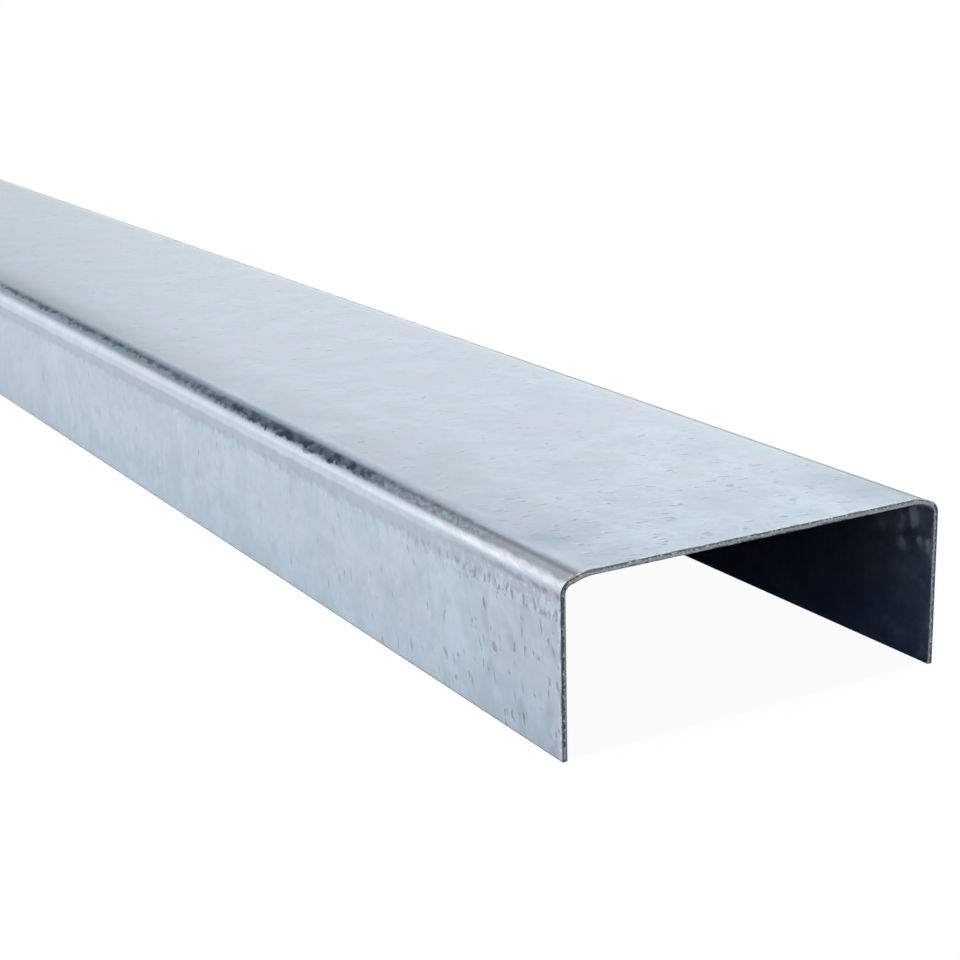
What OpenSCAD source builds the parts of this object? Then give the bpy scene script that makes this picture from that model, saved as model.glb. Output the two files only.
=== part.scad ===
// Steel track for framed walls: a plain channel, roll-formed from one strip
// of galvanised steel. It lies with its legs down and its web on top.
// Millimetres, +Z up. X runs along the track and Y across its web.
// The origin is on the floor, under the middle of the web.

/* [Track] */
// Length that the track is sold in
track_length = 3048; // [300:1:6096]
// Clear width between the legs, which is the depth of the stud that they hold
inside_width = 92.1; // [60:0.1:203]
// Height of each leg, from its free edge to the top of the web
leg_height = 38.1; // [20:0.1:100]
// Thickness of the steel strip
sheet = 1.15; // [0.6:0.01:2.6]

/* [Corners] */
// Inside radius of the bend between leg and shoulder
bend_inside_radius = 1.85; // [1:0.05:4]
// How far the shoulder's straight slope reaches across the track
shoulder_reach = 2.4; // [1:0.1:6]
// How far the shoulder's straight slope falls over that reach
shoulder_fall = 0.7; // [0.2:0.05:2]
// Inside radius of the bend that eases the web into the shoulder
easing_inside_radius = 8.85; // [2:0.05:15]

/* [Hidden] */
$fn = 96;
// How far the hollow is cut past the legs' free edges.
clear = 1;

// Outside sizes, which follow from the strip's thickness.
outside_width = inside_width + 2 * sheet;
bend_radius = bend_inside_radius + sheet;
easing_radius = easing_inside_radius + sheet;

// The way that the slope faces: a unit arrow, square to it and outwards.
slope_facing = [shoulder_fall, shoulder_reach] / norm([shoulder_fall, shoulder_reach]);

// Centre of the bend at the top of the leg. Its outer face ends where the slope
// begins, and the slope's other end is where the easing bend begins.
bend_y = outside_width / 2 - bend_radius;
bend_z = leg_height - easing_radius * (1 - slope_facing[1])
    - shoulder_fall - bend_radius * slope_facing[1];

// Centre of the easing bend, under the edge of the flat web.
easing_y = bend_y - shoulder_reach - (easing_radius - bend_radius) * slope_facing[0];
easing_z = leg_height - easing_radius;

// The channel as a filled shape, seen from its end. An inset of zero gives its
// outer faces and an inset of the strip's thickness gives its hollow.
module filled(inset, bottom) {
    face = outside_width / 2 - inset;
    top = leg_height - inset;
    bend_arc = bend_radius - inset;
    easing_arc = easing_radius - inset;
    right = [
        [face, bottom],
        [face, bend_z],
        [bend_y, bend_z] + bend_arc * slope_facing,
        [easing_y, easing_z] + easing_arc * slope_facing,
        [easing_y, top]
    ];
    left = [for (i = [len(right) - 1:-1:0]) [-right[i][0], right[i][1]]];
    polygon(concat(right, left));
    for (side = [0, 1])
        mirror([side, 0]) {
            translate([bend_y, bend_z])
                circle(r = bend_arc);
            translate([easing_y, easing_z])
                easing_slice(easing_arc);
        }
}

// The slice of a disc between straight up and the way that the slope faces.
module easing_slice(radius) {
    far = 2 * radius;
    intersection() {
        circle(r = radius);
        polygon([[0, 0], [0, far], far * slope_facing]);
    }
}

module track() {
    color([0.77, 0.81, 0.85])
        rotate([90, 0, 90])
            linear_extrude(height = track_length, center = true)
                difference() {
                    filled(0, 0);
                    filled(sheet, -clear);
                }
}

track();
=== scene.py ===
# %% [markdown]
# # Steel track
#
# A steel track is the channel that a framed wall stands in. It is rolled from one long strip of
# galvanised sheet: a flat web, a shoulder and a bend along each side, and two legs that hold the
# ends of the studs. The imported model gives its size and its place. This lesson gives it smooth
# bends, cut edges and a zinc skin, and lights it like a product on a white table.

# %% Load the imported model
from math import asin, cos, degrees, pi, radians, sin

import bmesh
import bpy
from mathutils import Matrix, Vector


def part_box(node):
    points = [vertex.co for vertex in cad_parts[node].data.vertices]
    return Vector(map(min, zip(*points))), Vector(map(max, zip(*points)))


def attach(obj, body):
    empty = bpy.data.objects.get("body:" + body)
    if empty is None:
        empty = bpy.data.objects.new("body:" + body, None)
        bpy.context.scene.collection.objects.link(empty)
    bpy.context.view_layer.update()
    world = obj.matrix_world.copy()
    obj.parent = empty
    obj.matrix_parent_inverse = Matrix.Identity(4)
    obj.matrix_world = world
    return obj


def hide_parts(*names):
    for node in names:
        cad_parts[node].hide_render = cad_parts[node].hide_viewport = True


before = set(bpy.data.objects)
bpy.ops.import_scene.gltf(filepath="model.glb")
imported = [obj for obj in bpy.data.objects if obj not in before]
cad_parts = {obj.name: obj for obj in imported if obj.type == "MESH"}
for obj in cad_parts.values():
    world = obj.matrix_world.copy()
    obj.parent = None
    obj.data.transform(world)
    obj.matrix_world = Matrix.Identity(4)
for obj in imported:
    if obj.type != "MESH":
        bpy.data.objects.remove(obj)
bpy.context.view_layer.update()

MM = 0.001
LOW, HIGH = (Vector(corner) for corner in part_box("track"))
TRACK_LENGTH, TRACK_WIDTH, TRACK_HEIGHT = HIGH - LOW
CUT_END = HIGH.x
print(f"track {TRACK_LENGTH:.4f} long, {TRACK_WIDTH:.4f} wide, {TRACK_HEIGHT:.4f} high")

# %% [markdown]
# ## The camera
#
# The camera stands low and close, a little past the cut end, and looks back along the track, so
# that the far end runs out of the picture. It is placed from the middle of the cut end. A
# constraint could aim it at a point, but a turn about each axis also keeps the slight lean that a
# hand-held camera has.

# %% Camera
CAMERA_FROM_CUT_END = Vector((0.2960, -0.2325, 0.1589))
CAMERA_TURN = (radians(73.77), radians(1.36), radians(59.96))
CAMERA_LENS = 73.55
CAMERA_REACH = (0.01, 200.0)

scene = bpy.context.scene
camera_data = bpy.data.cameras.new("camera")
camera_data.lens = CAMERA_LENS
camera_data.clip_start, camera_data.clip_end = CAMERA_REACH
camera = bpy.data.objects.new("camera", camera_data)
scene.collection.objects.link(camera)
camera.location = Vector((CUT_END, 0.0, LOW.z)) + CAMERA_FROM_CUT_END
camera.rotation_euler = CAMERA_TURN
scene.camera = camera
scene.view_settings.view_transform = "Standard"
print("camera at", tuple(round(v, 3) for v in camera.location))

# %% [markdown]
# ## Shader sums as plain Python
#
# A material is a chain of nodes, and most of them do sums. Each could be added and linked by
# hand, but a long chain is then hard to read. This small class wraps one socket, so that an
# expression such as `1 - wear * 0.5` adds the Math nodes by itself.

# %% A socket that can be used in a sum
class Wire:
    def __init__(self, recipe, socket):
        self.recipe = recipe
        self.socket = socket

    def output(self, name):
        """Another output of the same node."""
        return Wire(self.recipe, self.socket.node.outputs[name])

    def math(self, operation, *others):
        """A Math node with this wire as its first input."""
        inputs = dict(enumerate((self,) + others))
        return self.recipe.node("ShaderNodeMath", {"operation": operation}, inputs)

    def __add__(self, other):
        return self.math("ADD", other)

    def __sub__(self, other):
        return self.math("SUBTRACT", other)

    def __mul__(self, other):
        return self.math("MULTIPLY", other)

    def __rsub__(self, other):
        return self.recipe.value(other).math("SUBTRACT", self)

    __radd__ = __add__
    __rmul__ = __mul__

    def ramp_up(self, start, end):
        """0 below start, 1 above end, and a soft rise between them."""
        settings = {"interpolation_type": "SMOOTHSTEP", "clamp": True}
        inputs = {"Value": self, "From Min": start, "From Max": end}
        return self.recipe.node("ShaderNodeMapRange", settings, inputs)

    def ramp_down(self, start, end):
        """1 below start, 0 above end, and a soft fall between them."""
        return 1 - self.ramp_up(start, end)


print("a wire can be added, subtracted, multiplied and ramped")

# %% [markdown]
# ## One way to add a node
#
# Every other node comes from `Recipe.node`, which takes the node's type, its settings and its
# inputs. Settings go first, because they decide which sockets the node has. Nodes could also be
# added and linked one by one, but with one method each takes a line. The others are short ways to
# what comes up again and again: a plain number, a sum of vectors and a mix of two colours.

# %% Recipe
class Recipe:
    def __init__(self, owner):
        """Starts the recipe of a material or of the room, with no nodes in it."""
        owner.use_nodes = True
        self.name = owner.name
        self.tree = owner.node_tree
        self.tree.nodes.clear()

    def node(self, kind, settings=None, inputs=None, output=0):
        """Adds a node, sets its settings, then fills or links its inputs."""
        made = self.tree.nodes.new(kind)
        for name, value in (settings or {}).items():
            setattr(made, name, value)
        for name, value in (inputs or {}).items():
            socket = made.inputs[name]
            if isinstance(value, Wire):
                self.tree.links.new(value.socket, socket)
            else:
                socket.default_value = value
        return Wire(self, made.outputs[output]) if made.outputs else made

    def value(self, number):
        """A plain number as a node, for sums that start with one."""
        made = self.node("ShaderNodeValue")
        made.socket.default_value = number
        return made

    def vector(self, operation, *values, output=0):
        """A sum of whole vectors."""
        inputs = dict(enumerate(values))
        return self.node("ShaderNodeVectorMath", {"operation": operation}, inputs, output)

    def mix(self, factor, first, second):
        """A colour that goes from the first to the second as factor goes from 0 to 1."""
        inputs = {0: factor, 6: first, 7: second}
        return self.node("ShaderNodeMix", {"data_type": "RGBA"}, inputs, output=2)

    def report(self, made):
        """Says what was made and how long the recipe is by now."""
        print(f"{self.name}: {made}, {len(self.tree.nodes)} nodes so far")

    def finish(self, surface, kind="ShaderNodeOutputMaterial"):
        """Ends the recipe with its output node."""
        self.node(kind, None, {"Surface": surface})
        self.report("finished")


print("a recipe can add nodes and mix colours")

# %% [markdown]
# ## Noises and their places
#
# Most marks on metal start as a noise, which a ramp then cuts to patches. The node's own scale
# counts blobs to a metre, but a size is easier to think in. To draw a pattern out or to turn it,
# the place is changed before the noise reads it: a place that runs at half speed along one axis
# makes blobs twice as long there. A Mapping node could do both, but for a stretch a plain
# multiplication is easier to read.

# %% Noise, stretch and turn
def noise(place, size, detail=2.0, roughness=0.5, distortion=0.0):
    """Cloudy noise whose blobs are about size metres across."""
    inputs = {
        "Vector": place,
        "Scale": 1.0 / size,
        "Detail": detail,
        "Roughness": roughness,
        "Distortion": distortion,
    }
    return place.recipe.node("ShaderNodeTexNoise", None, inputs)


def stretch(place, x, y, z):
    """The same place, with a pattern there drawn out along the axes that are below 1."""
    return place.recipe.vector("MULTIPLY", place, (x, y, z))


def turn(place, angle):
    """The same place, with a pattern there turned about the upright axis."""
    inputs = {"Vector": place, "Rotation": (0.0, 0.0, angle)}
    return place.recipe.node("ShaderNodeMapping", None, inputs)


print("noises can be sized, stretched and turned")

# %% [markdown]
# ## The white table
#
# The track lies on a white table that fades into a white room. The table is matt paint, so the
# track's shadow falls on it. More lamps would make it white but bleach the track, so for the
# camera the paint glows instead, and the shadow stays faint. A mirror this close to a glowing
# table would look lit from below, so the metal sees only a little of that glow. The table starts
# as a plane of its real size, as the shade sheet and the track do later, so one helper adds all
# three.

# %% A flat rectangle
def add_plane(name, length, width, centre):
    """Adds a plane of its real size, unscaled, with its place in its mesh."""
    bpy.ops.object.select_all(action="DESELECT")
    bpy.ops.mesh.primitive_plane_add(size=1.0, location=centre)
    plane = bpy.context.object
    plane.name = name
    plane.data.name = name
    plane.scale = (length, width, 1.0)
    bpy.ops.object.transform_apply(location=True, rotation=True, scale=True)
    print(f"{name}: {length:.4f} by {width:.4f}, at height {centre[2]:.4f}")
    return plane


# %% Table
TABLE_SIZE = 60.0
TABLE_WHITE = (0.86, 0.86, 0.86, 1.0)
GLOW_STRENGTH = 1.015
TABLE_GLOW = 0.95
TABLE_GLOW_IN_METAL = 0.12

table = add_plane("table", TABLE_SIZE, TABLE_SIZE, (0.0, 0.0, LOW.z))
table_paint = bpy.data.materials.new("table_paint")
paint = Recipe(table_paint)
matt = paint.node("ShaderNodeBsdfDiffuse", None, {"Color": TABLE_WHITE})
glow = paint.node("ShaderNodeEmission", None, {"Strength": GLOW_STRENGTH})
seen = paint.node("ShaderNodeLightPath")
mirrored = seen.output("Is Glossy Ray")
share = seen * TABLE_GLOW + mirrored * TABLE_GLOW_IN_METAL
paint.finish(paint.node("ShaderNodeMixShader", None, {0: share, 1: matt, 2: glow}))
table.data.materials.append(table_paint)

# %% [markdown]
# ## The room and its cards
#
# Zinc is a mirror with a soft blur, so what it shows is the room, and the room is the only light.
# A photographer shapes such a mirror with cards: white ones to lift a face, dark ones to draw an
# edge. Here each card is an oval on the wall, given by the way to it and by its size, all in
# degrees. The darkest shape is a doorway, which the slope of the near shoulder mirrors as a dark
# line along the track. Lamps and real cards would do the same, but their reflections would change
# with each camera's distance, and a picture of a room would be a second file to keep.

# %% Looking at the room
room = bpy.data.worlds.new("room")
scene.world = room
air = Recipe(room)
way = air.node("ShaderNodeTexCoord")
height = air.node("ShaderNodeSeparateXYZ", None, {0: way}, output=2)


def along(axis):
    """How far the way we look points along an axis."""
    return air.vector("DOT_PRODUCT", way, tuple(axis), output=1)


def card(around, up, wide, tall, soft):
    """1 on an oval card on the room's wall, with a soft rim; every size is in degrees."""
    facing = Vector((cos(radians(up)) * cos(radians(around)),
                     cos(radians(up)) * sin(radians(around)), sin(radians(up))))
    level = Vector((0.0, 0.0, 1.0)).cross(facing).normalized()
    rise = facing.cross(level)
    across = along(level) * (1 / sin(radians(wide)))
    above = along(rise) * (1 / sin(radians(tall)))
    reach = (across * across + above * above).math("SQRT")
    front = along(facing).ramp_up(0.0, 0.1)
    return reach.ramp_down(1 - soft, 1 + soft) * front


print("room made, wall still bare")

# %% Walls and the dark doorway
overhead = height.ramp_up(0.45, 0.95)
horizon = height.ramp_down(0.06, 0.22)
strength = 1.0 - overhead * 0.10 + horizon * 0.012
doorway = card(176.5, 29.5, 12.5, 6.5, 0.40)
doorway = doorway.math("MAXIMUM", card(168.0, 20.5, 6.5, 7.0, 0.65) * 0.85)
dusk = card(171.0, 25.0, 25.0, 12.5, 0.20)
strength = strength - dusk * 0.27 - doorway * 0.50
air.report("walls and doorway")

# %% Cards on the wall
ROOM_LIGHT = 0.92
DIMMEST = 0.02
PLAIN_WHITE = (1.0, 1.0, 1.0, 1.0)
DOORWAY_BLUE = (0.66, 0.84, 1.0, 1.0)

# around, up, wide, tall and soft, as card takes them, and the light that the card adds or takes
CARDS = (
    (-145.0, 15.0, 8.0, 11.0, 0.5, 0.26),  # draws the bright line on the bend near the cut end
    (129.0, 15.0, 10.0, 14.0, 0.5, -0.10),  # dims the web's far corner at the cut end
    (145.0, 23.0, 12.0, 5.0, 0.5, -0.10),  # dims its near corner there
    (147.0, 12.5, 9.0, 5.0, 0.5, 0.03),  # lifts the web's far half beyond that corner
    (169.0, 7.0, 9.0, 5.0, 0.7, -0.06),  # dims the web where it runs out of sight
)
for *where, light in CARDS:
    strength = strength + card(*where) * light
strength = strength.math("MAXIMUM", DIMMEST) * ROOM_LIGHT
wall = air.mix(doorway, PLAIN_WHITE, DOORWAY_BLUE)
lit = air.node("ShaderNodeBackground", None, {"Color": wall, "Strength": strength})
white = air.node("ShaderNodeBackground", None, {"Color": PLAIN_WHITE, "Strength": 1.0})
rays = air.node("ShaderNodeLightPath")
seen_room = air.node("ShaderNodeMixShader", None, {0: rays, 1: lit, 2: white})
air.finish(seen_room, "ShaderNodeOutputWorld")

# %% [markdown]
# ## A dark sheet that stands in for shade
#
# A channel that stands open side down is dark inside, but a white table would light it from below
# like a lamp. So a blue-black sheet lies under it, cut a little smaller than the track, and the
# camera itself doesn't see it: it is painted shade, standing in for the shade inside the channel.
# Darker zinc inside would also do it, but it would then stay dark from every side and in any
# other light.

# %% Shade sheet
SHADE_SHEET_SHORT = 1.0 * MM
SHADE_SHEET_NARROW = 2.4 * MM
SHADE_SHEET_LIFT = 0.1 * MM
# painted shade: the blue-black of the sheet stands in for the shade inside the channel
SHADE_SHEET_BLUE = (0.036, 0.050, 0.082, 1.0)

shade_sheet = add_plane("painted_shade_sheet", TRACK_LENGTH - SHADE_SHEET_SHORT, TRACK_WIDTH - SHADE_SHEET_NARROW,
                  (0.0, 0.0, LOW.z + SHADE_SHEET_LIFT))
shade_sheet.visible_camera = False
shade_sheet_paint = bpy.data.materials.new("painted_shade_sheet")
dark = Recipe(shade_sheet_paint)
dark.finish(dark.node("ShaderNodeBsdfDiffuse", None, {"Color": SHADE_SHEET_BLUE}))
shade_sheet.data.materials.append(shade_sheet_paint)

# %% [markdown]
# ## The strip
#
# A channel like this could be an extruded outline, but its bends are the point of it, so it is
# made as it is rolled: a flat strip whose side is turned down bend by bend. The section has two
# arcs on each side, a wide one where the web eases down and a tight one at the leg, and a
# straight slope that touches both. From the radii and the slope follow the two centres.

# %% Section sizes
SHEET = 1.15 * MM
BEND_RADIUS = 1.85 * MM + SHEET
EASING_RADIUS = 8.85 * MM + SHEET
SHOULDER_REACH = 2.4 * MM
SHOULDER_FALL = 0.7 * MM

slope = Vector((SHOULDER_FALL, SHOULDER_REACH)).normalized()
slope_angle = asin(slope.x)
bend_y = TRACK_WIDTH / 2 - BEND_RADIUS
bend_z = (TRACK_HEIGHT - EASING_RADIUS * (1 - slope.y) - SHOULDER_FALL
          - BEND_RADIUS * slope.y)
easing_y = bend_y - SHOULDER_REACH - (EASING_RADIUS - BEND_RADIUS) * slope.x
easing_z = TRACK_HEIGHT - EASING_RADIUS
print(f"slope {degrees(slope_angle):.1f} degrees, flat web {2000 * easing_y:.1f} mm wide")

# %% [markdown]
# ## Half of the web
#
# The two sides are mirror images, so only one half is made. It starts as a plane from the middle
# of the web to the line where the sheet first turns. A whole web would do as well, but each bend
# would then be made twice. Cuts along its length keep its faces short, so that a strip of three
# metres is still smooth close up. An operator acts on what is selected, so before each one the
# edges are picked by their place, as a click would pick them by hand.

# %% Picking edges
def pick_edges(wanted):
    """Selects, in edit mode, only the edges whose two ends pass the test."""
    mesh = bmesh.from_edit_mesh(bpy.context.object.data)
    for part in (*mesh.faces, *mesh.edges, *mesh.verts):
        part.select = False
    picked = [edge for edge in mesh.edges if wanted(*(v.co for v in edge.verts))]
    for edge in picked:
        edge.select_set(True)
    bmesh.update_edit_mesh(bpy.context.object.data)
    return len(picked)


print("edges can be picked by their place")

# %% Plane and its cuts
CUTS_ALONG = 380
CUTS_ACROSS_WEB = 9

track = add_plane("galvanised_track", TRACK_LENGTH, easing_y, (0.0, easing_y / 2, TRACK_HEIGHT))
bpy.ops.object.mode_set(mode="EDIT")
bpy.ops.mesh.select_mode(type="EDGE")
pick_edges(lambda a, b: abs(a.y - b.y) < MM)
bpy.ops.mesh.subdivide(number_cuts=CUTS_ALONG)
print(pick_edges(lambda a, b: abs(a.x - b.x) < MM), "edges across the web")
bpy.ops.mesh.subdivide(number_cuts=CUTS_ACROSS_WEB)

# %% [markdown]
# ## Turning the side down
#
# The outer edge is now bent as the rollers bend it. Spin turns it about the centre of each arc,
# and an extrude draws it out along each flat. A bevel on a sharp corner would be quicker, but it
# would cut into the flats and leave the radii to chance.

# %% Bends and flats
SAME_PLACE = 0.01 * MM
EASING_STEPS = 4
BEND_STEPS = 14
LEG_STEPS = 8


def spin_edge(angle, steps, centre_y, centre_z):
    """Turns the picked edge down about a line along the track."""
    bpy.ops.mesh.spin(steps=steps, angle=angle, center=(0.0, centre_y, centre_z),
                      axis=(1.0, 0.0, 0.0))


def draw_out(across, down, steps=1):
    """Draws the picked edge out along a flat."""
    for _ in range(steps):
        move = {"value": (0.0, across / steps, -down / steps)}
        bpy.ops.mesh.extrude_region_move(TRANSFORM_OT_translate=move)


side = pick_edges(lambda a, b: min(a.y, b.y) > easing_y - SAME_PLACE)
spin_edge(slope_angle, EASING_STEPS, easing_y, easing_z)
draw_out(SHOULDER_REACH, SHOULDER_FALL, 2)
spin_edge(pi / 2 - slope_angle, BEND_STEPS, bend_y, bend_z)
draw_out(0.0, bend_z - LOW.z, LEG_STEPS)
bpy.ops.mesh.select_all(action="SELECT")
bpy.ops.mesh.normals_make_consistent(inside=False)
bpy.ops.object.mode_set(mode="OBJECT")
lowest = min(v.co.z for v in track.data.vertices)
widest = max(v.co.y for v in track.data.vertices)
print(f"{side} edges turned down; leg ends at {lowest:.5f}, outer face at {widest:.5f}")

# %% [markdown]
# ## From half a skin to a sheet
#
# The other half is a mirror image, so one Mirror modifier makes it and welds it along the middle.
# An open skin has no inside yet, so it is first turned over if it doesn't face up. Solidify then
# gives the skin its thickness, inwards, so that the outside keeps its size. It puts the new rim
# faces, which are the cut ends and the slit edges of the legs, in a second material, and the
# inner skin in a third. An inner skin could be drawn by hand, but its distance from the outer one
# would then be right only where it was measured. A very small bevel takes the sharpness off every
# cut, as the shears do.

# %% Mirror, thickness and cut edges
CUT_ROUNDING = 0.09 * MM
SHARP_EDGE = radians(60.0)
SMOOTH_EDGE = radians(30.0)


def finish_with(kind, **settings):
    """Adds a modifier to the track and applies it."""
    modifier = track.modifiers.new(kind.lower(), kind)
    for name, value in settings.items():
        setattr(modifier, name, value)
    bpy.ops.object.modifier_apply(modifier=modifier.name)


if track.data.polygons[0].normal.z < 0:
    track.data.flip_normals()
zinc = bpy.data.materials.new("zinc_skin")
cut_steel = bpy.data.materials.new("cut_steel")
zinc_inside = bpy.data.materials.new("zinc_inside")
for material in (zinc, cut_steel, zinc_inside):
    track.data.materials.append(material)
finish_with("MIRROR", use_axis=(False, True, False), use_clip=True, merge_threshold=SAME_PLACE)
finish_with("SOLIDIFY", thickness=SHEET, offset=-1.0, use_even_offset=True,
            material_offset_rim=1, material_offset=2)
finish_with("BEVEL", width=CUT_ROUNDING, segments=2, limit_method="ANGLE",
            angle_limit=SHARP_EDGE, material=1, harden_normals=False)
bpy.ops.object.shade_smooth_by_angle(angle=SMOOTH_EDGE)
print(f"{len(track.data.polygons)} faces, box {tuple(round(v, 5) for v in track.dimensions)}")

# %% [markdown]
# ## Places on the strip
#
# The marks of rolling run along the strip, so they need one measure: how far round the strip a
# point lies from the middle of the web. On the web that is the way out from the middle, and on a
# leg the way down from the top, and their sum holds for both. The flat web ends 39.8 mm out, the
# slope lies about 43 to 45 mm out, and the leg is flat from 51 mm on. A UV map could hold the
# same, but sums on the Object coordinates need no unwrapping and give lengths in metres.

# %% Where a point is on the strip
HALF_STRIP = TRACK_HEIGHT + TRACK_WIDTH / 2


def object_place(recipe):
    """A point's place on the object, whole, and as x, y and z."""
    place = recipe.node("ShaderNodeTexCoord", output=3)
    axes = recipe.node("ShaderNodeSeparateXYZ", None, {0: place})
    x, y, z = (axes.output(name) for name in "XYZ")
    return place, x, y, z


def strip_place(recipe):
    """The way round from the middle of the web, the place on the flat strip, the way to a cut."""
    _, x, y, z = object_place(recipe)
    out = y.math("ABSOLUTE") + (TRACK_HEIGHT - z)
    flat = recipe.node("ShaderNodeCombineXYZ", None, {0: x, 1: out * y.math("SIGN"), 2: 0.0})
    from_cut = TRACK_LENGTH / 2 - x.math("ABSOLUTE")
    return out, flat, from_cut


def band(out, start, end, soft):
    """1 between two distances round the strip, in millimetres, with soft edges."""
    rise = out.ramp_up((start - soft) * MM, (start + soft) * MM)
    fall = out.ramp_up((end - soft) * MM, (end + soft) * MM)
    return rise - fall


print(f"half the strip is {1000 * HALF_STRIP:.1f} mm by this measure")

# %% [markdown]
# ## Zinc
#
# Hot-dip zinc is a cool, pale metal with a soft sheen. Up close it is mottled: clouds where the
# bath ran off unevenly, crystals a few millimetres across that freeze each with its own tone, and
# a fine grain. The clouds and the grain are noises of three sizes. The crystals are cells with
# one random tone each, and their edges are bent by a noise, because straight ones look like
# tiles. Every change is a few percent only: in a mirror, more than that reads as dirt. The fine
# part is weaker still along the web, which flat rollers have smoothed.

# %% Clouds, crystals and grain
ZINC_PALE = (0.730, 0.860, 0.975, 1.0)
ZINC_GREY = (0.610, 0.735, 0.845, 1.0)
CLOUD_SIZE = 16 * MM
MOTTLE_SIZE = 3.4 * MM
GRAIN_SIZE = 1.4 * MM
CRYSTAL_SIZE = 3.6 * MM
CRYSTAL_SHAKE = (10 * MM, 10 * MM, 0.0)

skin = Recipe(zinc)
out, flat, from_cut = strip_place(skin)
on_web = out.ramp_down(39 * MM, 41 * MM)
fineness = 1 - on_web * from_cut.ramp_up(25 * MM, 110 * MM) * 0.50
cloud = noise(flat, CLOUD_SIZE, detail=4.0)
mottle = noise(flat, MOTTLE_SIZE, detail=4.0, roughness=0.65)
shake = noise(flat, 3 * MM, detail=2.0) - 0.5
bent = skin.vector("MULTIPLY_ADD", shake, CRYSTAL_SHAKE, flat)
crystal = skin.node("ShaderNodeTexVoronoi", {"voronoi_dimensions": "2D"},
                    {"Vector": bent, "Scale": 1 / CRYSTAL_SIZE}, output=1)
crystal = skin.node("ShaderNodeSeparateXYZ", None, {0: crystal})
fine_tone = (mottle - 0.5) * 1.5 + (crystal - 0.5) * 0.40
clouds = ((cloud - 0.5) * 2.0 + fine_tone * fineness + 0.54).ramp_up(0.0, 1.0)
grain = noise(flat, GRAIN_SIZE, detail=3.0, roughness=0.6)
colour = skin.mix(clouds, ZINC_GREY, ZINC_PALE)
skin.report("clouds, crystals and grain")

# %% [markdown]
# ## Tints of the zinc
#
# Zinc that has lain in a store is not one blue. Thin films on it shift the tone: lilac over wide
# patches, green over smaller ones, and greyer smudges where hands and other tracks have rubbed
# it. Each is a noise cut to soft patches that mixes in one tint. One noise through a ramp of
# colours could do it, but then the tints would always lie side by side in the same order.

# %% Tints and smudges
ZINC_LILAC = (0.715, 0.765, 0.905, 1.0)
ZINC_GREEN = (0.640, 0.790, 0.850, 1.0)

on_leg = out.ramp_up(56 * MM, 58 * MM)
bloom = noise(flat, 30 * MM, detail=2.0).ramp_up(0.46, 0.62) * (1 - on_leg * 0.6)
green = noise(flat, 11 * MM, detail=2.0).ramp_up(0.50, 0.66)
smudge = noise(flat, 5.5 * MM, detail=3.0, roughness=0.6).ramp_up(0.57, 0.70)
colour = skin.mix(bloom * 0.55, colour, ZINC_LILAC)
colour = skin.mix(green * 0.55, colour, ZINC_GREEN)
specks = grain.ramp_up(0.50, 0.70) * fineness * 0.20
colour = skin.mix(specks + smudge * 0.58, colour, ZINC_GREY)
skin.report("tints and smudges")

# %% [markdown]
# ## Painted shade beside the shoulder
#
# On the near side, the last two centimetres of the web before its shoulder are painted a faint
# grey: painted shade that evens out the reflection there. Near the cut end both edges of the web
# are a little darker, and so is the last centimetre on the near side. A painted map could hold
# all of this, but a soft band across the strip needs no unwrapping and is easy to move.

# %% Painted shade by the shoulder, and a darker cut end
# dark blue-grey, mixed in as painted shade and to darken the web near the cut end
SHADE_AND_END_DARK = (0.065, 0.085, 0.110, 1.0)

across = skin.node("ShaderNodeSeparateXYZ", None, {0: flat}, output=1)
near_side = across.ramp_down(-10 * MM, 10 * MM)
# painted shade on the near side, over the last two centimetres before the shoulder
shoulder_side_shade = out.ramp_up(18 * MM, 33 * MM) * out.ramp_down(37.5 * MM, 41 * MM)
shoulder_side_shade = shoulder_side_shade * near_side * 0.08
# both edges of the web darker near the cut end, and the last centimetre on the near side
darker_web_edges = from_cut.ramp_down(10 * MM, 46 * MM) * out.ramp_up(22 * MM, 38 * MM)
darker_web_edges = darker_web_edges * out.ramp_down(41 * MM, 44 * MM) * (0.06 + mottle * 0.10)
darker_web_edges = darker_web_edges * (1.25 - near_side * 0.75)
darker_last_cm = from_cut.ramp_down(3 * MM, 14 * MM) * across.ramp_down(0.0, 30 * MM)
darker_last_cm = darker_last_cm * out.ramp_down(50 * MM, 54 * MM) * 0.10
colour = skin.mix(shoulder_side_shade + darker_web_edges + darker_last_cm, colour, SHADE_AND_END_DARK)
skin.report("painted shade by the shoulder and darker cut end")

# %% [markdown]
# ## The grain of the rolling
#
# Rollers drag the soft zinc a little sideways as the strip runs through, so the marks beside the
# bend lean, and the painted shade there leans with them. Turning the place before it is stretched
# gives noises with that lean: a slow one and a quick one that push the edges of the marks and of
# the painted shade in and out, and streaks and blobs for that shade's darkness. A straight-edged
# band would look painted on.

# %% Leaning noises
leaning = turn(flat, -1.0)
drawn = stretch(leaning, 1.0, 0.35, 1.0)
slow = noise(stretch(flat, 1.0, 0.40, 1.0), 7 * MM, detail=2.0) - 0.5
tick = noise(drawn, 1.8 * MM, detail=3.0, roughness=0.6) - 0.5
streak = noise(drawn, 2.2 * MM, detail=3.0, roughness=0.6)
streaks = streak.ramp_up(0.42, 0.58)
blobs = noise(stretch(leaning, 1.0, 0.70, 1.0), 4.6 * MM, detail=2.0).ramp_up(0.43, 0.57)
past_end = (from_cut + slow * (40 * MM) + tick * (60 * MM)).ramp_up(62 * MM, 94 * MM)
ragged = out + (tick * (6.0 * MM) + slow * (3.0 * MM)) * (0.35 + past_end * 0.90)
skin.report("leaning noises")
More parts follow.
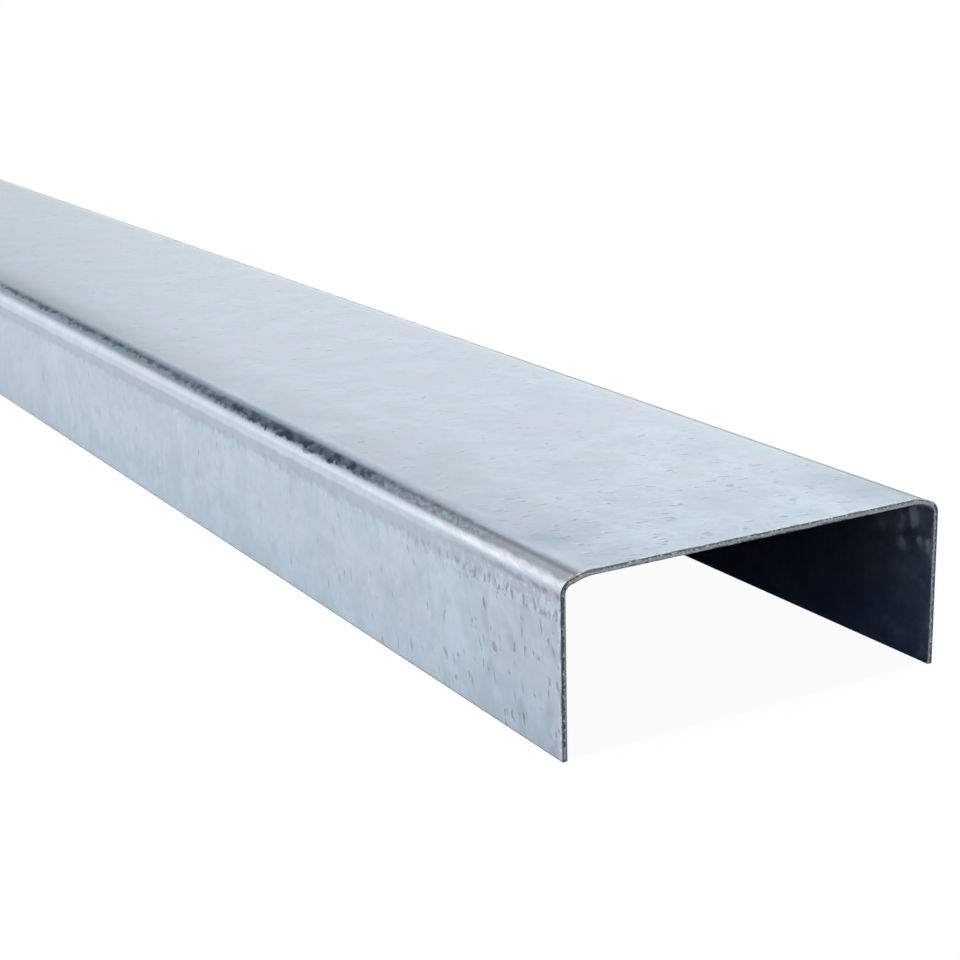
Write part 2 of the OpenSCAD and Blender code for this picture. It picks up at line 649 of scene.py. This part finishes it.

# %% [markdown]
# ## The dark line on the shoulder
#
# Where the shoulder starts to fall, the room's doorway draws a dark line, and a painted reflection
# in the colour darkens it further, with a torn lower edge. Its darkness comes in streaks and blobs,
# which stand further apart away from the cut end, and a thin painted shade leads into it from the
# web. It has no depth in the mesh: what shows is the change of tone and gloss.

# %% Painted dark reflection on the shoulder
far_along = from_cut.ramp_up(130 * MM, 330 * MM)
risen = from_cut.ramp_up(120 * MM, 240 * MM)
very_end = from_cut.ramp_down(6 * MM, 36 * MM)
# painted reflection: deepens in the colour the dark line that the doorway draws on the slope
shoulder_shade = (out + (far_along + very_end * 0.8) * (1.0 * MM)).ramp_up(42.2 * MM, 44.0 * MM)
shoulder_shade = shoulder_shade * (ragged + risen * (2.8 * MM)).ramp_down(46.3 * MM, 47.9 * MM)
apart = from_cut.ramp_up(120 * MM, 210 * MM)
shade_pattern = (1 - apart) * (0.54 + streaks * 0.26 + blobs * 0.30)
shade_pattern = shade_pattern + apart * (0.08 + blobs * 0.52 + streaks * 0.22)
# painted shade that leads from the web into the dark line
shade_fade = out.ramp_up(29 * MM, 41 * MM) * out.ramp_down(42 * MM, 45 * MM)
shade_fade = shade_fade * near_side * from_cut.ramp_up(150 * MM, 350 * MM) * 0.40
colour = skin.mix(shoulder_shade * past_end * shade_pattern + shade_fade, colour, SHADE_AND_END_DARK)
skin.report("painted dark reflection on the shoulder")

# %% [markdown]
# ## The grey shade near the cut end
#
# Over the last hand's breadth before the cut, the dark painted reflection gives way to a painted
# shade of dull, warm grey, gritty further in and smooth at the end, where the zinc is also a
# little less glossy. A fine line of painted shade runs along its upper edge, as in a crease. It
# could be a patch laid over the dark line, but here it takes the same band's shape where the dark
# streaks stop, so that the two meet without a gap.

# %% Grey painted shade at the cut end, and a crease line of painted shade
END_SHADE_GREY = (0.26, 0.245, 0.265, 1.0)

slanted_grit = noise(stretch(leaning, 1.0, 0.50, 1.0), 1.3 * MM, detail=3.0, roughness=0.6)
slanted_grit = (slanted_grit.ramp_up(0.40, 0.60) - 0.5) * from_cut.ramp_up(20 * MM, 42 * MM) * 1.3
grit = 0.5 + slanted_grit + (grain - 0.5) * 1.2
shade_near_cut = shoulder_shade * (1 - past_end)
# painted shade along a fine crease at the top of the band
crease_shade = band(out, 43.3, 44.5, 0.6) * (1 - past_end) * 0.42
# painted shade: a dull warm grey where the dark line of the shoulder stops near the cut end
colour = skin.mix(shade_near_cut * (0.34 + grit * 0.36 + very_end * 0.06), colour, END_SHADE_GREY)
colour = skin.mix(crease_shade, colour, SHADE_AND_END_DARK)
skin.report("grey painted shade at the cut end and along its upper edge")

# %% [markdown]
# ## The bright line on the bend
#
# Below the shoulder the bend turns through the brightest part of the room, so it shows one bright
# line along the track, whitest near the cut end. Most of it is the mirror's own work. The rest is
# painted: a painted shade of grey holds it back where it would split in two, and a painted
# highlight of white lifts the rest.

# %% Bright line
# grey for painted shade here and for the greyer row under the bend; white for painted highlight
# here and on the pit rims, and for the burrs
SHADE_AND_ROW_GREY = (0.59, 0.59, 0.66, 1.0)
HIGHLIGHT_AND_BURR_WHITE = (0.93, 0.95, 1.0, 1.0)

at_end = from_cut.ramp_down(20 * MM, 75 * MM)
# painted shade: grey that holds the bright line back where it would split in two
highlight_dimming = band(ragged, 47.4, 49.8, 0.7) * (1 - past_end) * 0.42
highlight_dimming = highlight_dimming + band(out, 47.6, 50.5, 0.3) * past_end * (0.26 - risen * 0.14)
# painted highlight: white that lifts the bright line, also far along and just below it
bright = band(ragged, 47.6, 49.5, 0.7) * from_cut.ramp_down(25 * MM, 95 * MM)
far_bright = band(out, 45.8, 48.5, 0.7) * risen
low_bright = band(out, 50.4, 52.0, 0.3) * past_end
bright = bright * (0.38 + streaks * 0.46) + far_bright * 0.40 + low_bright * 0.30
colour = skin.mix(highlight_dimming, colour, SHADE_AND_ROW_GREY)
colour = skin.mix(bright, colour, HIGHLIGHT_AND_BURR_WHITE)
skin.report("bright line")

# %% [markdown]
# ## Under the bend
#
# Where the leg begins, the last roller has left a dull lilac band with a wavy lower edge. Near
# the cut end it is greyer, and the whole leg is a little darker and more lilac there. The band
# could be part of the shoulder shade's mask, but its edges wander by other amounts, so it has a
# mask of its own.

# %% Lilac band
ROLLED_LILAC = (0.47, 0.52, 0.63, 1.0)

lilac = (out + slow * (2.4 * MM) + at_end * (1.3 * MM)).ramp_up(51.7 * MM, 52.6 * MM)
low_edge = out + tick * (4.0 * MM) + slow * (3.0 * MM) + (1 - at_end) * (0.7 * MM)
lilac = lilac * low_edge.ramp_down(55.8 * MM, 57.0 * MM)
grey_row = band(out + slow * (1.0 * MM), 50.2, 54.6, 0.5) * at_end
# the leg is darker and more lilac near the cut end
leg_lilac_near_cut = on_leg * from_cut.ramp_down(4 * MM, 55 * MM)
colour = skin.mix(lilac * 0.50 + leg_lilac_near_cut * 0.28, colour, ROLLED_LILAC)
colour = skin.mix(grey_row * (0.26 + very_end * 0.20), colour, SHADE_AND_ROW_GREY)
skin.report("lilac band")

# %% [markdown]
# ## Scuffs in a row
#
# The same roller picks at the zinc and leaves a row of short scuffs, light and dark by turns,
# strongest near the cut end, and above them a broken dark line. One noise serves both: its low
# places are the light scuffs and its high places the dark ones, so that they never overlap.

# %% Light and dark scuffs
SCUFF_WHITE = (0.78, 0.91, 0.99, 1.0)

teeth = noise(stretch(flat, 1.0, 0.55, 1.0), 1.8 * MM, detail=3.0, roughness=0.65,
              distortion=0.4)
scuff_row = band(out + slow * (2.0 * MM), 54.4, 57.2, 0.7) * (0.22 + at_end * 0.78)
light_scuffs = teeth.ramp_down(0.41, 0.49)
light_scuffs = light_scuffs * band(out, 52.2, 57.0, 0.7) * (0.1 + at_end * 0.9)
dark_scuffs = teeth.ramp_up(0.50, 0.58) * scuff_row
line = band(out + slow * (1.4 * MM), 51.0, 52.2, 0.5)
line = line * streaks * from_cut.ramp_down(8 * MM, 50 * MM)
colour = skin.mix(light_scuffs * 0.50, colour, SCUFF_WHITE)
skin.report("scuffs")

# %% [markdown]
# ## Two kinds of small marks
#
# A track is stacked, slid and sheared, so its faces carry pits and short strokes. A pit has an
# uneven outline, and the peaks of a fine noise give that: what is added to the noise decides how
# many peaks stand above the line. A stroke is a single thing, so strokes come from cells that
# draw lots: a cell whose number is high enough gets one, of its own size. Marks in the mesh would
# need thousands of faces each and be no deeper than a hair.

# %% Pits from peaks, strokes from lots
PEAK_LINE = 0.68  # how high a peak has to reach to show as a pit
LOT_LINE, LOT_SOFTNESS = 1.0, 0.02  # what a cell's lot and chance have to add up to
DRIFT_SIZE = 0.625  # of a cell
SMALLEST_MARK = 0.45  # of the largest
DARK_CORE = 0.45  # of a mark, where its soft edge begins


def flecks(place, size, more, soft):
    """Marks of uneven shape: 1 on the peaks of a fine noise, and more of them as more rises."""
    peaks = noise(place, size, detail=2.0, roughness=0.55, distortion=0.25)
    return (peaks + more).ramp_up(PEAK_LINE, soft + PEAK_LINE)


def scattered(place, spacing, chance, size, wander):
    """Single marks, at most one to a cell; chance is the share of the cells that has one."""
    drift = noise(place, DRIFT_SIZE * spacing, detail=1.0).output("Color")
    drift = skin.vector("SUBTRACT", drift, (0.5, 0.5, 0.5))
    shaken = skin.vector("MULTIPLY_ADD", drift, (wander * spacing,) * 3, place)
    cells = skin.node("ShaderNodeTexVoronoi", {"voronoi_dimensions": "2D"},
                      {"Vector": shaken, "Scale": 1.0 / spacing})
    lot = skin.node("ShaderNodeSeparateXYZ", None, {0: cells.output("Color")})
    here = (lot + chance).ramp_up(LOT_LINE - LOT_SOFTNESS, LOT_LINE + LOT_SOFTNESS)
    big = lot.output("Y")
    edge = SMALLEST_MARK + big * (1 - SMALLEST_MARK)
    return here * cells.ramp_down(edge * (size * DARK_CORE), edge * size)


print("pits and strokes can be placed")

# %% [markdown]
# ## Pits and strokes
#
# There are more of both near the cut end, where the track was handled and sheared, and they come
# in patches. They lean one way on the web and the other way on the legs. Each pit also has a
# painted highlight on one rim, which is the same pattern moved half a millimetre, so that it
# reads as a dent and not as a dot. Between them the legs have soft grey smears, so that the marks
# don't lie on a clean sheet.

# %% Where the marks lie and how they lean
near_cut = from_cut.ramp_down(15 * MM, 85 * MM)
near_leg = near_cut * 0.6 + from_cut.ramp_down(40 * MM, 150 * MM) * 0.4
patchy = noise(flat, 12 * MM, detail=1.0).ramp_up(0.36, 0.58)
turned = skin.node("ShaderNodeVectorRotate", {"rotation_type": "Z_AXIS"},
                   {"Vector": flat, "Angle": on_web * 0.55 - 0.17})
fine = stretch(turned, 1.0, 0.42, 1.0)
skin.report("places of the marks")

# %% Pits, strokes and smears
PIT_SIZE = 2.0 * MM
RIM_SHIFT = (0.5 * MM, 0.2 * MM, 0.0)
STROKE_SPACING = 3.4 * MM

more_pits = patchy * 0.023 + on_leg * near_leg * 0.040 + on_web * (near_cut * 0.036 + 0.022)
softness = 0.06 + on_web * 0.03
pits = flecks(fine, PIT_SIZE, more_pits, softness)
rims = flecks(skin.vector("ADD", fine, RIM_SHIFT), PIT_SIZE, more_pits, softness)
strokes = scattered(stretch(turned, 1.0, 0.24, 1.0), STROKE_SPACING,
                    chance=0.06 + near_leg * 0.56, size=0.13, wander=0.5)
marks = on_leg * (pits * (0.40 + near_leg * 0.60)).math("MAXIMUM", strokes * 0.8) * 0.75
marks = marks + on_web * pits * 0.60
smears = noise(fine, 4.2 * MM, detail=3.0).ramp_up(0.48, 0.64) * patchy * on_leg * near_leg
# painted highlight: the lit rim of each pit
pit_rim_highlights = rims * (0.5 + patchy * 0.5) * (on_web + on_leg)
skin.report("pits, strokes and smears")

# %% [markdown]
# ## The skin at the cuts
#
# The shears pull the skin over the end: for the last millimetre it is bright with burrs, and the
# very edge is nicked dark. The long lower edges were slit before the strip was rolled, and the
# hair of bare steel there has gone brown. Real burrs could be modelled, but they are finer than
# the rounding of the edge, so all of these are bands measured from an edge, broken by a noise.

# %% Burrs, nicks and the slit edge
MARK_GREY = (0.22, 0.28, 0.34, 1.0)
SLIT_BROWN = (0.30, 0.27, 0.24, 1.0)

burr = from_cut.ramp_down(0.5 * MM, 1.8 * MM) * grain.ramp_up(0.50, 0.56)
chip = noise(stretch(flat, 1.0, 0.45, 1.0), 2.4 * MM, detail=2.0).ramp_up(0.50, 0.55)
chip = chip * from_cut.ramp_down(0.25 * MM, 0.65 * MM)
slit = (out - HALF_STRIP).math("ABSOLUTE").ramp_down(0.15 * MM, 0.40 * MM)
dark_marks = dark_scuffs * 0.58 + line * 0.60 + marks * 0.75 + chip * 0.7 + smears * 0.20
# painted highlight on the pit rims, and the bright burrs at the cut
colour = skin.mix(pit_rim_highlights * 0.36 + burr * 0.6, colour, HIGHLIGHT_AND_BURR_WHITE)
colour = skin.mix(dark_marks, colour, MARK_GREY)
colour = skin.mix(slit * 0.75, colour, SLIT_BROWN)
skin.report("burrs, nicks and the slit edge")

# %% [markdown]
# ## The zinc's shader
#
# Zinc is a metal all through, so one Principled shader does it. A clear coat would add a second
# reflection, which bare zinc doesn't have. Its gloss follows the same patterns as its colour: a
# little duller on pale clouds and grain, glossier under the dark painted reflection on the
# shoulder and duller under the grey painted shade near the cut end. A weak bump sinks the marks
# and lifts the grain, by a twentieth of a millimetre at most.

# %% Gloss and relief
SKIN_RELIEF = 0.05 * MM

gloss = 0.21 + clouds * 0.03 + grain * 0.05
gloss = gloss - shoulder_shade * past_end * 0.04 + shade_near_cut * 0.10
relief = grain * fineness * 0.4 - marks * 1.2 + streak * (shoulder_shade + scuff_row) * 1.2
bump = skin.node("ShaderNodeBump", None,
                 {"Strength": 0.30, "Distance": SKIN_RELIEF, "Height": relief})
skin.finish(skin.node("ShaderNodeBsdfPrincipled", None, {
    "Base Color": colour,
    "Metallic": 1.0,
    "Roughness": gloss,
    "Normal": bump,
}))

# %% [markdown]
# ## Zinc on the inside
#
# The inner skin is the same coat, but no roller slides on it and nothing is stacked on it, so it
# has no marks, and none of the outer skin's painted shade and highlight. It is smooth and even,
# with a few dull patches at the cut end, beside the bend and the slit edge. It is a material of
# its own, because the masks of the outer skin would fall in the wrong places a sheet's thickness
# further in.

# %% Inner skin
INNER_SHADE = (0.50, 0.62, 0.78, 1.0)
INNER_PALE = (0.62, 0.72, 0.84, 1.0)

inner = Recipe(zinc_inside)
inner_out, inner_flat, inner_from_cut = strip_place(inner)
inner_cloud = noise(inner_flat, 14 * MM, detail=3.0).ramp_up(0.35, 0.65)
inner_wave = noise(inner_flat, 12 * MM, detail=0.0)
dull = noise(inner_flat, 4.5 * MM, detail=2.0).ramp_up(0.44, 0.66)
dull = dull * inner_from_cut.ramp_down(5 * MM, 26 * MM)
by_bend = inner_out.ramp_down(57 * MM, 63 * MM)
by_slit = inner_out.ramp_up(73 * MM, 79 * MM)
dull = dull * (0.20 + by_bend * 0.85 + by_slit * 0.45)
inner_bump = inner.node("ShaderNodeBump", None,
                        {"Strength": 0.05, "Distance": SKIN_RELIEF, "Height": inner_wave})
inner.finish(inner.node("ShaderNodeBsdfPrincipled", None, {
    "Base Color": inner.mix(inner_cloud, INNER_SHADE, INNER_PALE),
    "Metallic": 1.0,
    "Roughness": 0.28 + inner_cloud * 0.02 + dull * 0.20,
    "Normal": inner_bump,
}))

# %% [markdown]
# ## How deep in the sheet
#
# A cut end shows the sheet edge on, and its lines follow the section, so they need the depth
# under the outer face. The outer face is flats and arcs, and a plane that touches it at each of a
# few turns, from level to upright, wraps it closely. The depth is then the least of the depths
# under those planes, which takes only sums and no second mesh.

# %% Depth under the outer face
DEPTH_TURNS = (0.0, 8.0, 16.3, 28.0, 40.0, 52.0, 64.0, 76.0, 90.0)


def depth_in_sheet(recipe):
    """A point's place, and how far it lies under the strip's outer face."""
    place, _, y, z = object_place(recipe)
    depth = recipe.value(1.0)
    for angle in DEPTH_TURNS:
        aside, up = sin(radians(angle)), cos(radians(angle))
        if angle < degrees(slope_angle):
            reach = easing_y * aside + easing_z * up + EASING_RADIUS
        else:
            reach = bend_y * aside + bend_z * up + BEND_RADIUS
        under = reach - y.math("ABSOLUTE") * aside - z * up
        depth = depth.math("MINIMUM", under)
    return place, depth


print(f"{len(DEPTH_TURNS)} planes wrap the section")

# %% [markdown]
# ## Cut steel
#
# The shears leave three layers: zinc and steel smeared dark along the outer face, a torn grey
# middle with bright points where the steel is fresh, and a dark line along the inner face. On the
# legs the smear is wider. A plain grey would do from afar, but the layers are what shows that
# this is cut sheet. The lines wander with two noises, a fine one for the tearing and a coarse one
# that breaks them up.

# %% Smeared lines
cut = Recipe(cut_steel)
cut_out, _, _ = strip_place(cut)
cut_place, depth = depth_in_sheet(cut)
torn = noise(cut_place, 0.8 * MM, detail=3.0, roughness=0.7)
broken = noise(stretch(cut_place, 1.0, 0.45, 1.0), 2.2 * MM, detail=2.0).ramp_up(0.38, 0.62)
on_side = cut_out.ramp_up(45 * MM, 49 * MM)
wander = (torn.ramp_up(0.36, 0.64) - 0.5) * (0.42 * MM) + (broken - 0.5) * (0.30 * MM)
wander = depth + wander
outer_line = (wander - on_side * (0.28 * MM)).ramp_down(0.18 * MM, 0.42 * MM)
inner_line = (wander - on_side * (0.20 * MM)).ramp_up(0.80 * MM, 1.05 * MM)
dark_lines = outer_line.math("MAXIMUM", inner_line) * (0.65 + on_side * 0.25 + broken * 0.25)
cut.report("smeared lines")

# %% Torn steel
RIM_DARK = (0.045, 0.055, 0.070, 1.0)
RIM_GREY = (0.34, 0.37, 0.41, 1.0)
RIM_SMEAR = (0.10, 0.12, 0.14, 1.0)
RIM_BRIGHT = (0.62, 0.65, 0.68, 1.0)
CUT_RELIEF = 0.1 * MM

fresh = noise(cut_place, 0.8 * MM, detail=2.0, roughness=0.6).ramp_up(0.57, 0.64)
fresh = fresh * (1 - outer_line * 0.6)
cut_colour = cut.mix(dark_lines.math("MINIMUM", 1.0), RIM_GREY, RIM_DARK)
cut_colour = cut.mix(on_side * 0.35, cut_colour, RIM_SMEAR)
cut_colour = cut.mix(fresh * 0.55, cut_colour, RIM_BRIGHT)
cut_bump = cut.node("ShaderNodeBump", None,
                    {"Strength": 0.6, "Distance": CUT_RELIEF, "Height": torn})
cut.finish(cut.node("ShaderNodeBsdfPrincipled", None, {
    "Base Color": cut_colour,
    "Metallic": 0.8,
    "Roughness": 0.50,
    "Normal": cut_bump,
}))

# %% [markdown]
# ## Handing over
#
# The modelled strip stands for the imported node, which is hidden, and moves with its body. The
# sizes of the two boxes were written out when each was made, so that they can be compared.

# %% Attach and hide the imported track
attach(track, "root")
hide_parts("track")
